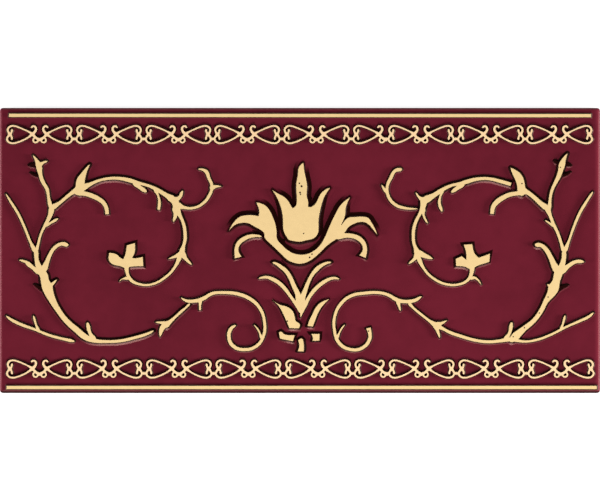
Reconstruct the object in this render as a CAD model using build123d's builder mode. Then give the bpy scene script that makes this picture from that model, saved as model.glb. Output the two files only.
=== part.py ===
"""Glazed border tile with a raised scroll ornament, one pressed and fired piece.

Millimetres. The tile lies on its back: X runs along its length, Y across its width and Z up
through the glazed face. The origin is the centre of the back's bedding plane.
"""

import math
import os

from build123d import *

# Driving dimensions of the pressed body
LENGTH = 200.0
WIDTH = 95.0
BODY_THICKNESS = 7.5
FACE_EDGE_RADIUS = 1.2
BACK_EDGE_CHAMFER = 0.8
CORNER_RADIUS = 0.8

# Keying grid pressed into the back
KEY_COLUMNS = 8
KEY_ROWS = 4
KEY_PITCH_X = 23.8
KEY_PITCH_Y = 22.0
KEY_RIB_WIDTH = 3.0
KEY_DEPTH = 0.8
KEY_DRAFT = 20.0

# Relief on the face: its height, how far its walls spread to their feet, and how deep it roots
RELIEF_HEIGHT = 1.5
WALL_SPREAD = 0.35
ROOT_DEPTH = 0.4

# Ends of a stroke: cut square below this width, otherwise blunt with its corners at this angle
POINT_WIDTH = 0.95
BLUNT_ANGLE = math.radians(35)

# Straight fillets along the two long edges: their width and the ends of each
FILLET_WIDTH = 1.2
FILLETS = (((-97.0, 45.1), (97.1, 45.0)), ((-97.8, -45.5), (98.9, -45.5)))

# Chains of facing scrolls: the height of each row and the middles between its scrolls
CHAIN_WIDTH = 0.8
TOP_ROW = 38.8
TOP_MIDDLES = (-86.9, -63.7, -40.6, -17.7, 5.4, 40.2, 63.3, 86.5)
TOP_SINGLE = 28.5
BOTTOM_ROW = -39.45
BOTTOM_MIDDLES = (-86.8, -63.6, -40.4, -17.3, 5.9, 40.5, 63.8, 87.1)
BOTTOM_SINGLE = 28.9

# One scroll of a chain, as distances left of its middle and above its row
HOOKED_STRAND = ((9.35, 1.5), (10.0, 0.05), (10.8, -1.6), (9.2, -3.0), (7.0, -2.55), (2.35, 0.05),
                 (1.1, 1.8), (2.35, 2.65))
RINGED_STRAND = ((9.35, -1.6), (10.0, 0.05), (10.8, 1.5), (9.2, 2.8), (7.0, 2.35), (2.35, 0.05),
                 (-0.2, -1.75))
RING_CENTRE = (1.25, -2.05)
RING_RADIUS = 1.1
RING_SIDES = 6

# The link that ties a scroll to its neighbour on the left: its centre from the middle, its length
LINK_CENTRE = (-11.55, -1.4)
LINK_LENGTH = 1.4


def stem(*points):
    """A stroke of (x, y, width) points whose two ends are blunt, or pointed where very narrow."""
    return points, False, False


def clipped(*points):
    """A stroke that is cut square at its last point."""
    return points, False, True


def block(*points):
    """A stroke that is cut square at both ends."""
    return points, True, True


TULIP = (
    stem((1.05, 29.2, 0.3), (0.6, 27.8, 1.5), (0.4, 25.5, 2.6), (0.5, 22.5, 3.4), (0.55, 19.5, 3.7),
         (0.6, 16.0, 4.0), (0.5, 10.5, 4.4)),
    stem((-9.3, 20.2, 0.3), (-8.1, 18.9, 1.0), (-6.8, 17.3, 2.1), (-5.5, 15.4, 3.0), (-4.5, 13.0, 3.6),
         (-3.8, 9.5, 4.0)),
    stem((9.9, 21.1, 0.3), (8.5, 19.6, 1.1), (7.1, 17.7, 1.9), (6.0, 15.6, 2.7), (5.2, 13.0, 3.4),
         (4.4, 9.5, 3.8)),
    block((0.4, 13.0, 9.0), (0.35, 10.5, 12.0), (0.25, 8.0, 12.0), (0.2, 6.0, 11.4), (0.1, 4.4, 9.0),
          (0.0, 3.0, 4.6)),
)

CUP = (
    stem((-14.6, 16.1, 0.4), (-13.6, 15.0, 1.4), (-12.9, 13.7, 2.3), (-12.1, 12.2, 3.3),
         (-11.1, 10.2, 4.4), (-9.9, 5.8, 4.1), (-8.5, 2.6, 3.0), (-5.2, -0.7, 2.7), (-1.5, -2.8, 3.1),
         (2.0, -2.5, 2.8), (5.0, -0.7, 1.8), (7.35, 1.3, 1.9), (9.2, 3.5, 3.0), (10.9, 6.2, 3.8),
         (12.6, 10.4, 3.5), (14.2, 14.4, 2.2), (15.2, 16.0, 1.3), (16.6, 17.6, 0.3)),
    stem((-23.9, 6.6, 0.3), (-23.0, 8.2, 1.0), (-21.5, 9.9, 1.8), (-19.5, 10.5, 2.2), (-17.0, 10.4, 2.8),
         (-15.0, 9.7, 4.0), (-12.5, 8.6, 5.4)),
    stem((25.8, 5.1, 0.3), (25.0, 6.5, 0.8), (23.9, 8.1, 1.4), (22.3, 9.9, 2.2), (20.4, 10.3, 2.0),
         (18.2, 10.1, 2.2), (16.2, 9.4, 3.0), (14.0, 8.2, 4.2), (12.0, 7.4, 4.8)),
    clipped((-12.9, 4.7, 0.9), (-14.5, 4.8, 1.3), (-16.2, 4.9, 1.3), (-18.0, 4.5, 1.5),
            (-19.9, 3.2, 1.5), (-21.1, 1.5, 1.5), (-21.4, 0.0, 1.4), (-21.2, -1.0, 1.6),
            (-20.7, -2.2, 2.2)),
    clipped((11.8, 4.8, 2.6), (14.5, 5.0, 1.9), (17.5, 4.5, 1.7), (19.7, 3.5, 1.6), (21.2, 2.0, 1.5),
            (21.6, 0.3, 1.4), (21.2, -1.0, 1.8), (20.5, -2.1, 2.4)),
)

SPRAY = (
    stem((-9.5, -3.9, 0.7), (-8.0, -4.3, 1.2), (-6.4, -5.4, 1.4), (-4.9, -6.9, 1.5), (-3.4, -9.2, 1.5),
         (-2.2, -12.0, 1.6), (-1.1, -14.5, 1.8), (-0.2, -17.5, 2.2)),
    stem((10.7, -3.9, 0.6), (9.3, -4.0, 1.0), (7.4, -4.8, 1.3), (5.6, -6.2, 1.5), (4.1, -8.0, 1.3),
         (2.8, -10.4, 1.3), (1.7, -13.3, 1.6), (0.8, -15.8, 2.0), (0.3, -18.5, 2.4)),
    stem((-14.2, -9.7, 0.6), (-12.9, -9.1, 1.1), (-11.0, -9.0, 1.2), (-9.0, -9.6, 1.4),
         (-7.0, -10.8, 1.4), (-5.3, -12.4, 1.4), (-3.7, -14.5, 1.2), (-2.3, -16.5, 1.0),
         (-0.8, -18.7, 1.2)),
    stem((13.5, -9.9, 0.6), (12.2, -9.3, 1.0), (10.4, -9.4, 1.2), (8.4, -10.2, 1.3), (6.4, -11.6, 1.4),
         (4.6, -13.4, 1.4), (3.0, -15.6, 1.3), (1.6, -18.3, 1.5), (0.5, -20.8, 1.0), (0.2, -22.2, 0.3)),
    stem((-9.4, -16.6, 0.3), (-8.0, -17.6, 0.9), (-6.4, -18.9, 1.6), (-5.1, -20.3, 2.4),
         (-4.2, -21.9, 3.2), (-3.4, -23.6, 3.4), (-2.9, -25.2, 3.2)),
    block((-3.8, -25.1, 1.2), (-2.0, -25.2, 1.5), (0.0, -25.0, 1.4)),
    clipped((9.9, -16.2, 0.3), (8.4, -17.0, 0.9), (6.9, -18.2, 1.3), (5.6, -20.0, 1.7),
            (4.6, -22.1, 2.0), (3.9, -23.9, 2.2), (3.4, -25.3, 2.3)),
    block((-6.9, -28.4, 1.8), (-4.6, -28.9, 2.1), (-2.0, -29.2, 1.8)),
    block((3.7, -29.0, 1.7), (5.2, -29.1, 2.0), (6.7, -29.0, 2.2)),
    block((0.0, -29.9, 1.8), (0.3, -31.4, 1.9), (0.4, -33.8, 2.0)),
)

LEFT_SPIRAL = (
    stem((-40.1, -15.4, 0.3), (-38.0, -16.7, 1.15), (-35.0, -16.8, 1.3), (-32.4, -16.1, 1.45),
         (-29.2, -14.3, 1.2), (-23.5, -14.1, 1.2), (-16.6, -16.1, 1.35), (-12.3, -21.5, 1.15),
         (-12.2, -28.6, 1.15), (-14.6, -31.9, 1.2), (-18.7, -33.0, 1.2), (-22.4, -31.7, 1.35),
         (-23.7, -28.6, 1.3), (-22.9, -25.9, 1.3), (-21.6, -25.0, 0.7)),
    clipped((-33.2, -16.8, 1.3), (-33.3, -18.4, 0.8), (-33.3, -19.9, 0.9)),
    stem((-15.3, -24.8, 0.3), (-14.2, -26.0, 0.7), (-13.4, -27.5, 0.7), (-12.8, -29.3, 0.9)),
    stem((-44.8, -24.8, 2.2), (-43.4, -23.8, 1.5), (-41.5, -22.1, 1.0), (-39.3, -20.1, 1.0),
         (-38.0, -19.0, 0.8), (-36.8, -17.8, 0.6)),
    stem((-44.8, -24.3, 1.4), (-46.5, -24.0, 0.9), (-48.0, -23.9, 0.4)),
    stem((-45.0, -24.7, 1.6), (-46.0, -26.3, 1.3), (-46.6, -28.6, 0.4)),
)

RIGHT_SPIRAL = (
    clipped((40.3, -15.4, 0.6), (38.2, -16.6, 1.3), (35.2, -17.0, 1.3), (32.4, -16.5, 1.45),
            (29.2, -14.7, 1.2), (24.0, -14.0, 1.15), (17.2, -15.0, 1.2), (12.6, -19.2, 1.15),
            (11.3, -25.0, 1.1), (13.0, -30.8, 1.3), (17.0, -33.0, 1.2), (21.0, -32.3, 1.25),
            (23.2, -29.4, 1.3), (22.7, -25.7, 1.7)),
    stem((32.6, -16.8, 1.4), (33.0, -18.5, 1.0), (33.4, -20.0, 0.4)),
    stem((14.9, -24.7, 0.3), (13.9, -25.9, 0.7), (13.1, -27.4, 0.7), (12.3, -29.3, 0.9)),
    stem((36.2, -17.4, 0.9), (37.7, -19.1, 0.9), (40.0, -21.0, 1.0), (43.2, -23.5, 1.1),
         (45.3, -24.9, 2.0), (47.5, -26.0, 1.2), (53.5, -28.5, 1.2), (62.5, -30.4, 1.15),
         (66.5, -30.1, 1.2), (69.6, -29.7, 1.8), (72.5, -30.0, 1.2), (75.0, -30.3, 0.9),
         (84.0, -27.8, 0.95), (93.5, -23.3, 1.0), (96.2, -22.0, 1.0), (97.6, -20.8, 0.5)),
    stem((45.4, -24.7, 1.8), (47.2, -24.2, 1.1), (48.8, -23.3, 0.4)),
    stem((44.9, -24.6, 1.6), (45.8, -26.7, 1.2), (46.5, -29.0, 0.4)),
)

LEFT_CURL = (
    stem((-40.8, 15.2, 2.0), (-38.5, 14.3, 1.2), (-35.3, 14.2, 1.0), (-32.4, 15.6, 1.1),
         (-30.1, 18.5, 1.15), (-29.3, 21.4, 1.2), (-30.4, 24.2, 1.2), (-31.1, 26.1, 1.4),
         (-34.2, 27.1, 0.6)),
    stem((-29.4, 20.9, 1.6), (-28.0, 21.3, 1.2), (-25.7, 21.4, 0.3)),
    stem((-43.5, 17.6, 2.0), (-41.9, 16.6, 2.4), (-41.1, 14.8, 2.6), (-40.6, 12.8, 1.9),
         (-39.6, 10.9, 1.2), (-38.7, 8.6, 1.2), (-38.3, 6.0, 1.2), (-38.3, 3.5, 1.2), (-38.8, 1.5, 1.2),
         (-39.4, -0.6, 1.8)),
    stem((-41.5, 17.0, 1.8), (-40.2, 17.6, 1.3), (-39.2, 19.6, 0.8)),
    stem((-41.9, 13.6, 1.4), (-41.5, 12.0, 1.0), (-42.2, 9.7, 0.8)),
    stem((-39.2, -1.0, 2.0), (-41.3, -1.9, 1.2), (-44.2, -2.9, 0.4)),
    stem((-39.3, -0.8, 2.0), (-38.0, -2.8, 1.3), (-36.2, -4.6, 0.5)),
)

RIGHT_CURL = (
    stem((33.5, 27.0, 1.2), (31.6, 26.5, 1.2), (30.3, 24.3, 1.3), (29.1, 21.6, 1.1), (29.3, 18.3, 1.2),
         (31.5, 15.4, 1.2), (35.0, 14.1, 1.05), (39.2, 13.9, 0.3)),
    stem((27.2, 21.8, 0.4), (27.8, 20.8, 0.9), (28.7, 19.6, 1.2)),
    stem((38.6, 19.2, 0.4), (39.5, 17.9, 0.9), (41.2, 16.7, 1.6)),
    stem((42.8, 17.6, 1.9), (41.3, 16.4, 2.5), (40.9, 14.5, 1.9), (40.0, 12.4, 1.2), (38.7, 9.9, 1.2),
         (37.7, 5.5, 1.2), (38.0, 2.2, 1.2), (39.1, -0.8, 2.0)),
    stem((41.2, 14.0, 1.2), (41.1, 11.8, 0.9), (42.4, 9.2, 0.5)),
    stem((39.2, -0.9, 2.0), (38.1, -2.8, 1.2), (36.3, -4.3, 0.5)),
    stem((39.2, -0.7, 2.0), (41.2, -1.6, 1.8), (44.0, -2.7, 0.6)),
)

LEFT_ARCH = (
    stem((-73.2, 20.6, 2.2), (-70.0, 22.0, 1.4), (-67.0, 23.3, 1.0), (-63.5, 24.0, 1.1),
         (-60.0, 24.0, 1.2), (-56.5, 23.3, 1.5), (-53.5, 22.4, 1.2), (-50.5, 21.6, 1.1),
         (-47.5, 20.2, 1.4), (-44.5, 18.4, 1.6), (-42.0, 16.8, 2.2)),
    stem((-55.2, 22.6, 1.6), (-53.4, 21.1, 1.4), (-51.5, 19.8, 1.2)),
    clipped((-48.4, 20.4, 1.0), (-47.2, 18.2, 0.8), (-46.8, 16.0, 1.1), (-47.1, 13.5, 1.1)),
    stem((-73.3, 19.6, 2.6), (-73.2, 22.0, 3.0), (-72.9, 23.6, 2.8), (-72.2, 25.1, 2.0),
         (-71.3, 26.8, 1.2), (-70.1, 28.6, 0.3)),
    clipped((-74.5, 19.3, 1.6), (-71.5, 18.9, 1.6), (-69.0, 18.1, 1.7), (-66.8, 17.0, 1.6),
            (-65.2, 15.6, 1.5), (-64.4, 13.8, 1.4), (-64.2, 12.0, 1.4)),
    stem((-82.7, 14.2, 1.6), (-80.0, 15.9, 1.4), (-77.5, 18.0, 1.5), (-75.3, 19.6, 1.9),
         (-73.6, 20.4, 2.4)),
)

RIGHT_ARCH = (
    stem((41.3, 16.6, 2.2), (44.5, 18.6, 1.4), (47.5, 20.3, 1.4), (50.5, 21.7, 1.1), (53.0, 22.2, 1.2),
         (55.5, 22.9, 1.5), (59.0, 23.8, 1.25), (63.0, 23.9, 1.15), (66.5, 23.1, 1.3),
         (70.2, 21.9, 1.3), (73.0, 21.0, 1.6)),
    stem((54.2, 22.1, 1.6), (52.5, 20.9, 1.5), (50.7, 19.6, 1.0)),
    stem((47.6, 20.2, 1.0), (46.7, 18.0, 0.8), (46.4, 15.8, 1.1), (47.2, 13.2, 0.7)),
    stem((73.8, 19.4, 2.6), (73.6, 21.5, 2.7), (73.2, 23.3, 2.8), (72.4, 24.9, 2.6), (71.2, 26.3, 1.8),
         (69.9, 27.7, 0.4)),
    clipped((75.0, 19.5, 1.6), (72.0, 19.0, 1.5), (69.8, 18.6, 1.6), (67.6, 17.6, 1.7),
            (65.7, 16.3, 1.8), (64.3, 14.5, 1.6), (63.9, 12.1, 1.4)),
    stem((82.3, 14.1, 1.8), (80.2, 15.6, 1.7), (77.7, 17.9, 1.6), (75.3, 19.6, 2.0), (73.6, 20.3, 2.4)),
)

LEFT_TREFOIL = (
    clipped((-57.6, -5.0, 2.0), (-57.1, -2.0, 2.6), (-56.6, 0.3, 2.7), (-56.0, 2.2, 3.1)),
    stem((-63.9, -2.1, 2.2), (-62.0, -2.6, 3.4), (-60.3, -3.4, 3.2), (-57.8, -4.4, 2.2)),
    clipped((-57.8, -4.4, 1.8), (-55.5, -3.7, 2.2), (-53.8, -3.6, 2.3), (-52.0, -3.6, 3.2)),
    stem((-57.7, -4.4, 1.6), (-57.6, -7.2, 1.25), (-56.6, -9.8, 1.2), (-53.6, -11.2, 0.95),
         (-49.5, -11.3, 0.9), (-45.1, -9.1, 1.0), (-41.7, -5.6, 1.0), (-39.6, -1.0, 1.2)),
    stem((-60.4, -10.4, 0.4), (-59.2, -9.5, 0.6), (-57.3, -9.2, 1.2)),
)

RIGHT_TREFOIL = (
    clipped((57.3, -5.0, 2.0), (57.0, -2.0, 2.6), (56.5, 0.5, 2.6), (55.9, 2.2, 2.9)),
    clipped((57.6, -4.6, 1.8), (55.0, -3.9, 2.6), (53.5, -3.7, 2.7), (51.9, -3.9, 2.2)),
    clipped((57.2, -4.5, 1.8), (59.8, -3.5, 2.4), (61.5, -2.9, 2.7), (63.4, -2.2, 3.1)),
    stem((57.2, -4.4, 1.6), (57.1, -7.5, 1.4), (55.9, -9.8, 1.1), (53.2, -11.2, 0.95),
         (49.0, -11.3, 0.95), (44.4, -9.3, 1.0), (41.2, -6.0, 1.0), (39.1, -1.6, 1.2)),
    stem((56.8, -9.2, 1.2), (58.5, -9.2, 0.9), (60.6, -11.5, 0.4)),
)

LEFT_VINE = (
    stem((-98.3, 19.4, 0.4), (-96.5, 16.5, 1.0), (-93.8, 12.2, 1.0), (-91.5, 7.2, 1.0),
         (-89.7, 2.7, 1.0), (-88.0, -0.6, 1.2)),
    stem((-91.0, -4.1, 1.2), (-88.8, -5.8, 1.4), (-86.8, -7.4, 1.6)),
    stem((-93.3, -3.2, 0.5), (-91.3, -3.8, 1.0), (-89.6, -5.0, 1.2)),
    stem((-87.8, 0.0, 1.2), (-87.7, -3.0, 1.5), (-86.8, -5.8, 2.2), (-84.9, -10.2, 2.9),
         (-84.2, -12.0, 3.6), (-83.5, -14.2, 3.1), (-80.4, -20.0, 1.9), (-76.2, -25.2, 2.0),
         (-71.5, -28.8, 2.1), (-68.5, -30.0, 1.5), (-64.5, -30.3, 1.1), (-55.0, -29.0, 1.1),
         (-51.0, -27.8, 1.0), (-48.9, -26.8, 0.5)),
    stem((-87.9, -0.5, 0.9), (-87.2, 2.0, 1.0), (-86.3, 5.4, 0.9), (-84.7, 8.7, 1.2),
         (-83.2, 11.7, 1.6), (-82.6, 14.4, 1.7)),
    stem((-83.0, 14.2, 1.1), (-83.7, 17.6, 1.1), (-84.2, 20.4, 1.3), (-85.7, 23.0, 1.4),
         (-86.5, 25.6, 1.5), (-86.9, 28.0, 2.1), (-88.0, 30.3, 1.1), (-89.2, 32.0, 0.4)),
    stem((-87.0, 28.2, 1.6), (-85.4, 29.3, 0.9), (-84.3, 29.7, 0.6)),
    stem((-84.9, 8.2, 1.0), (-83.0, 9.2, 0.9), (-80.8, 10.5, 0.7)),
    stem((-77.3, 1.9, 1.5), (-79.5, 2.2, 1.3), (-81.4, 1.2, 1.3), (-83.2, -0.8, 1.35),
         (-84.4, -3.6, 1.6), (-85.3, -6.5, 2.0)),
    stem((-84.2, -12.8, 2.2), (-82.6, -11.3, 1.2), (-81.1, -9.8, 0.4)),
    stem((-98.2, -21.5, 0.6), (-96.5, -22.9, 1.1), (-93.0, -24.6, 1.15), (-88.5, -26.2, 1.0),
         (-83.5, -28.2, 1.05), (-79.0, -29.4, 1.0), (-74.5, -30.3, 0.8), (-70.5, -30.3, 1.0)),
    stem((-86.9, -26.9, 0.9), (-87.8, -24.9, 0.8), (-88.7, -21.9, 0.6)),
    stem((-68.5, -29.6, 1.6), (-69.9, -27.6, 1.2), (-70.7, -24.3, 1.0)),
)

RIGHT_VINE = (
    stem((97.4, 19.4, 0.5), (95.4, 16.3, 1.0), (93.3, 12.8, 1.1), (91.2, 8.0, 1.0), (89.6, 3.4, 0.9),
         (88.0, -0.6, 1.1)),
    stem((94.2, -3.7, 0.9), (91.9, -3.7, 1.3), (89.4, -5.1, 1.5), (86.9, -7.2, 1.9)),
    stem((87.9, -0.2, 1.2), (87.8, -2.8, 1.6), (87.0, -5.6, 2.2), (86.0, -8.0, 2.6),
         (85.3, -10.2, 2.6), (84.5, -12.3, 3.6), (83.5, -14.5, 2.8), (80.2, -20.2, 1.6),
         (76.4, -24.7, 1.7), (70.6, -29.6, 2.2)),
    stem((87.8, -0.5, 1.0), (87.0, 2.3, 1.1), (85.9, 5.6, 1.1), (84.4, 8.8, 1.2), (83.2, 11.8, 1.3),
         (82.2, 14.4, 1.8)),
    stem((83.0, 13.4, 0.9), (83.2, 17.0, 1.0), (84.1, 20.5, 1.2), (85.8, 23.6, 1.5), (86.5, 26.3, 1.7),
         (87.0, 28.6, 2.0), (87.7, 30.7, 1.4), (88.9, 32.6, 0.4)),
    stem((84.8, 8.0, 1.0), (83.2, 9.0, 0.8), (81.7, 10.0, 0.4)),
    stem((78.4, 1.9, 1.4), (80.3, 1.7, 1.4), (82.0, 0.2, 1.6), (83.3, -2.0, 1.7), (84.3, -4.2, 2.0),
         (85.6, -6.8, 2.2)),
    stem((84.2, -12.8, 2.0), (82.9, -11.6, 1.2), (81.8, -10.7, 0.4)),
    stem((86.8, -26.5, 0.9), (87.5, -24.5, 0.8), (88.2, -21.8, 0.6)),
    stem((68.4, -29.4, 1.4), (69.7, -27.6, 1.1), (70.4, -24.3, 1.0)),
)

# Leaves and thorns that the gilding leaves out
BARE_LEAVES = (
    stem((-91.2, 28.7, 0.4), (-89.3, 28.1, 1.1), (-87.2, 28.0, 1.4)),
    stem((-90.2, 25.3, 0.4), (-88.4, 24.8, 0.8), (-86.4, 24.9, 1.0)),
    stem((-88.9, -11.2, 0.4), (-87.2, -12.2, 1.1), (-84.8, -13.2, 1.8)),
    stem((90.8, 28.6, 0.4), (89.0, 28.3, 1.1), (87.2, 28.3, 1.4)),
    stem((90.2, 25.3, 0.4), (88.4, 24.9, 0.8), (86.2, 24.9, 1.0)),
    stem((84.4, 30.0, 0.4), (85.4, 29.5, 0.9), (86.9, 28.8, 1.4)),
    stem((89.8, -11.4, 0.4), (88.0, -12.1, 1.0), (85.2, -13.0, 1.8)),
)

STROKES = (*TULIP, *CUP, *SPRAY, *LEFT_SPIRAL, *RIGHT_SPIRAL, *LEFT_CURL, *RIGHT_CURL, *LEFT_ARCH,
           *RIGHT_ARCH, *LEFT_TREFOIL, *RIGHT_TREFOIL, *LEFT_VINE, *RIGHT_VINE, *BARE_LEAVES)


def direction(points, index):
    """Unit direction of a stroke at one of its points."""
    before = points[max(index - 1, 0)]
    after = points[min(index + 1, len(points) - 1)]
    dx, dy = after[0] - before[0], after[1] - before[1]
    length = math.hypot(dx, dy)
    return dx / length, dy / length


def rail(points, side, spread):
    """One side of a stroke: its points moved out by half the width and by spread."""
    moved = []
    for index, (x, y, width) in enumerate(points):
        dx, dy = direction(points, index)
        reach = side * (width / 2 + spread)
        moved.append((x - dy * reach, y + dx * reach))
    return moved


def blunt(points, index, sign, spread):
    """The corners of a blunt end, from its left side round to its right."""
    x, y, width = points[index]
    dx, dy = direction(points, index)
    reach = width / 2 + spread
    ahead, aside = sign * reach * math.cos(BLUNT_ANGLE), reach * math.sin(BLUNT_ANGLE)
    return [(x + dx * ahead - dy * side, y + dy * ahead + dx * side) for side in (aside, -aside)]


def lengthened(points, square_start, square_end, spread):
    """The stroke's points, with its square ends moved out by spread."""
    points = list(points)
    for index, sign, square in ((0, -1, square_start), (len(points) - 1, 1, square_end)):
        if square and spread:
            x, y, width = points[index]
            dx, dy = direction(points, index)
            points[index] = (x + sign * dx * spread, y + sign * dy * spread, width)
    return points


def side_curve(points):
    """Straight runs along a short thorn or block, or one smooth curve along a longer stroke."""
    return Polyline(*points) if len(points) <= 3 else Spline(*points)


def stroke_outline(stroke, spread):
    """Draws a stroke's closed edge, spread wider all round than its top."""
    points, square_start, square_end = stroke
    points = lengthened(points, square_start, square_end, spread)
    last = len(points) - 1
    left, right = rail(points, 1, spread), rail(points, -1, spread)
    first_cut = square_start or points[0][2] < POINT_WIDTH
    last_cut = square_end or points[last][2] < POINT_WIDTH
    side_curve(left)
    Polyline(left[-1], *([] if last_cut else blunt(points, last, 1, spread)), right[-1])
    side_curve(right)
    Polyline(left[0], *([] if first_cut else blunt(points, 0, -1, spread)), right[0])


def raised(stroke):
    """One stroke of the relief, with drafted walls and its root sunk in the body."""
    with BuildPart() as relief:
        with BuildSketch(Plane.XY.offset(BODY_THICKNESS - ROOT_DEPTH)):
            with BuildLine():
                stroke_outline(stroke, WALL_SPREAD)
            make_face()
        with BuildSketch(Plane.XY.offset(BODY_THICKNESS + RELIEF_HEIGHT)):
            with BuildLine():
                stroke_outline(stroke, 0.0)
            make_face()
        loft(ruled=True)
    return relief.part


def strand(points):
    """Draws a narrow band of even width along straight runs."""
    band = [(x, y, CHAIN_WIDTH) for x, y in points]
    Polyline(*rail(band, 1, 0.0), *reversed(rail(band, -1, 0.0)), close=True)


def scroll():
    """One scroll of a chain, drawn to the left of its middle."""
    with BuildSketch(Plane.XY) as shape:
        for points in (HOOKED_STRAND, RINGED_STRAND):
            with BuildLine():
                strand([(-x, y) for x, y in points])
            make_face()
        with Locations((-RING_CENTRE[0], RING_CENTRE[1])):
            RegularPolygon(RING_RADIUS, RING_SIDES)
    return shape.sketch


def chain(row, middles, single):
    """A row of scrolls in facing pairs, with one that stands alone."""
    left = scroll()
    right = mirror(left, about=Plane.YZ)
    with BuildPart() as links:
        with BuildSketch(Plane.XY.offset(BODY_THICKNESS - ROOT_DEPTH)):
            for middle in middles:
                add(Pos(middle, row) * left)
                add(Pos(middle, row) * right)
            add(Pos(single, row) * left)
            for middle in (*middles[1:], single):
                with Locations((middle + LINK_CENTRE[0], row + LINK_CENTRE[1])):
                    Rectangle(LINK_LENGTH, CHAIN_WIDTH)
        extrude(amount=ROOT_DEPTH + RELIEF_HEIGHT)
    return links.part


os.makedirs("parts", exist_ok=True)

bars = [block((*start, FILLET_WIDTH), (*end, FILLET_WIDTH)) for start, end in FILLETS]
relief = [raised(stroke) for stroke in (*STROKES, *bars)]
chains = [
    chain(TOP_ROW, TOP_MIDDLES, TOP_SINGLE),
    chain(BOTTOM_ROW, BOTTOM_MIDDLES, BOTTOM_SINGLE),
]

with BuildPart() as tile:
    with BuildSketch():
        RectangleRounded(LENGTH, WIDTH, CORNER_RADIUS)
    extrude(amount=BODY_THICKNESS)
    fillet(tile.faces().sort_by(Axis.Z)[-1].edges(), FACE_EDGE_RADIUS)
    chamfer(tile.faces().sort_by(Axis.Z)[0].edges(), BACK_EDGE_CHAMFER)
    with BuildSketch(Plane.XY):
        with GridLocations(KEY_PITCH_X, KEY_PITCH_Y, KEY_COLUMNS, KEY_ROWS):
            Rectangle(KEY_PITCH_X - KEY_RIB_WIDTH, KEY_PITCH_Y - KEY_RIB_WIDTH)
    extrude(amount=KEY_DEPTH, taper=KEY_DRAFT, mode=Mode.SUBTRACT)
    add(chains)
    add(relief)

tile.part.label = "tile"
export_step(tile.part, "parts/tile.step")
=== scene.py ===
"""Glazed border tile with a gilded raised ornament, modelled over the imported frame."""

import math

import bpy
from bpy.props import FloatProperty, FloatVectorProperty, PointerProperty
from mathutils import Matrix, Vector


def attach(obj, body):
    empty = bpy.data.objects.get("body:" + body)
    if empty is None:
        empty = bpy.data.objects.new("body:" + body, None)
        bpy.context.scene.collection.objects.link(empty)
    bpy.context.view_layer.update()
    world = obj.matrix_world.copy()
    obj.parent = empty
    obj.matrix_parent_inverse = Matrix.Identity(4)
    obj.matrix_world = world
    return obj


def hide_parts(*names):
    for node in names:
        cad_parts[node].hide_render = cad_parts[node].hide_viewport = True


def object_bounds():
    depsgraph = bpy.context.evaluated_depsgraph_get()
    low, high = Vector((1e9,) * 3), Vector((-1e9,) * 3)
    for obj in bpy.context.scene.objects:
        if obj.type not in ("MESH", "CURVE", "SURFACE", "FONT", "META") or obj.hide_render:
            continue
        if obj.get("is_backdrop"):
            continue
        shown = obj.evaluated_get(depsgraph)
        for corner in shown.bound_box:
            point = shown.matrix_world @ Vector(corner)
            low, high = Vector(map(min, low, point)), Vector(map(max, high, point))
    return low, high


bl_info = {
    "name": "Border tile",
    "version": (1, 0, 0),
    "blender": (4, 5, 0),
    "location": "View3D > Sidebar > Border tile",
    "description": "Builds a glazed border tile with a raised, gilded scroll ornament",
    "category": "Object",
}

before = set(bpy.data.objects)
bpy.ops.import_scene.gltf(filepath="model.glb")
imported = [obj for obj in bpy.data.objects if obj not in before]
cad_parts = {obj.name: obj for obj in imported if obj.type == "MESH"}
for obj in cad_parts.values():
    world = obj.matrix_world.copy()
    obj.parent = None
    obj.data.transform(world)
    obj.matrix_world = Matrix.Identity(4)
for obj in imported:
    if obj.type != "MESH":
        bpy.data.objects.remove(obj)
CAD_LOW, CAD_HIGH = (tuple(corner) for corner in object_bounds())

MM = 0.001
LENGTH = CAD_HIGH[0] - CAD_LOW[0]
WIDTH = CAD_HIGH[1] - CAD_LOW[1]
RELIEF_TOP = CAD_HIGH[2]

# Keying grid of the back: cells along and across, their pitch and the ribs between them
KEY_COLUMNS = 8
KEY_ROWS = 4
KEY_PITCH = (23.8 * MM, 22.0 * MM)
KEY_RIB = 3.0 * MM
KEY_DEPTH = 0.8 * MM
KEY_FLOOR_SCALE = 0.965

# How finely an outline and a wall are divided
STROKE_STEPS = 3
CHAIN_STEPS = 2
WALL_STEPS = 4
FIELD = 6.0 * MM

# The relief's wall between its foot at (1, 0) and the rim of its flat top at (0, 1)
WALL_PROFILE = ((0.55, 0.05), (0.3, 0.13), (0.18, 0.5), (0.1, 0.88), (0.03, 0.98))

# How far the bare leaves lie under the gilded tops, and how deep each form is sunk in the face
BARE_DROP = 0.45 * MM
BURIED = 0.3 * MM

# Points closer than this are one, steeper folds are sharp, and faces this level are flat
MERGE_DISTANCE = 0.002 * MM
SMOOTH_ANGLE = 38.0
FLAT_NORMAL = 0.9995

# Straight fillets along the two long edges, in millimetres
FILLET_WIDTH = 1.3
TOP_FILLET = ((-97.0, 45.0), (0.0, 44.95), (97.0, 44.9))
BOTTOM_FILLET = ((-97.8, -45.6), (0.0, -45.6), (98.9, -45.6))

# The chains: height of each row, the middles of its facing pairs and of its single scroll
CHAINS = (
    (38.65, (-86.7, -63.6, -40.5, -17.6, 5.5, 40.3, 63.5, 86.4), 28.6),
    (-39.4, (-86.7, -63.5, -40.3, -17.2, 6.0, 40.5, 63.7, 86.9), 29.05),
)

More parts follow.
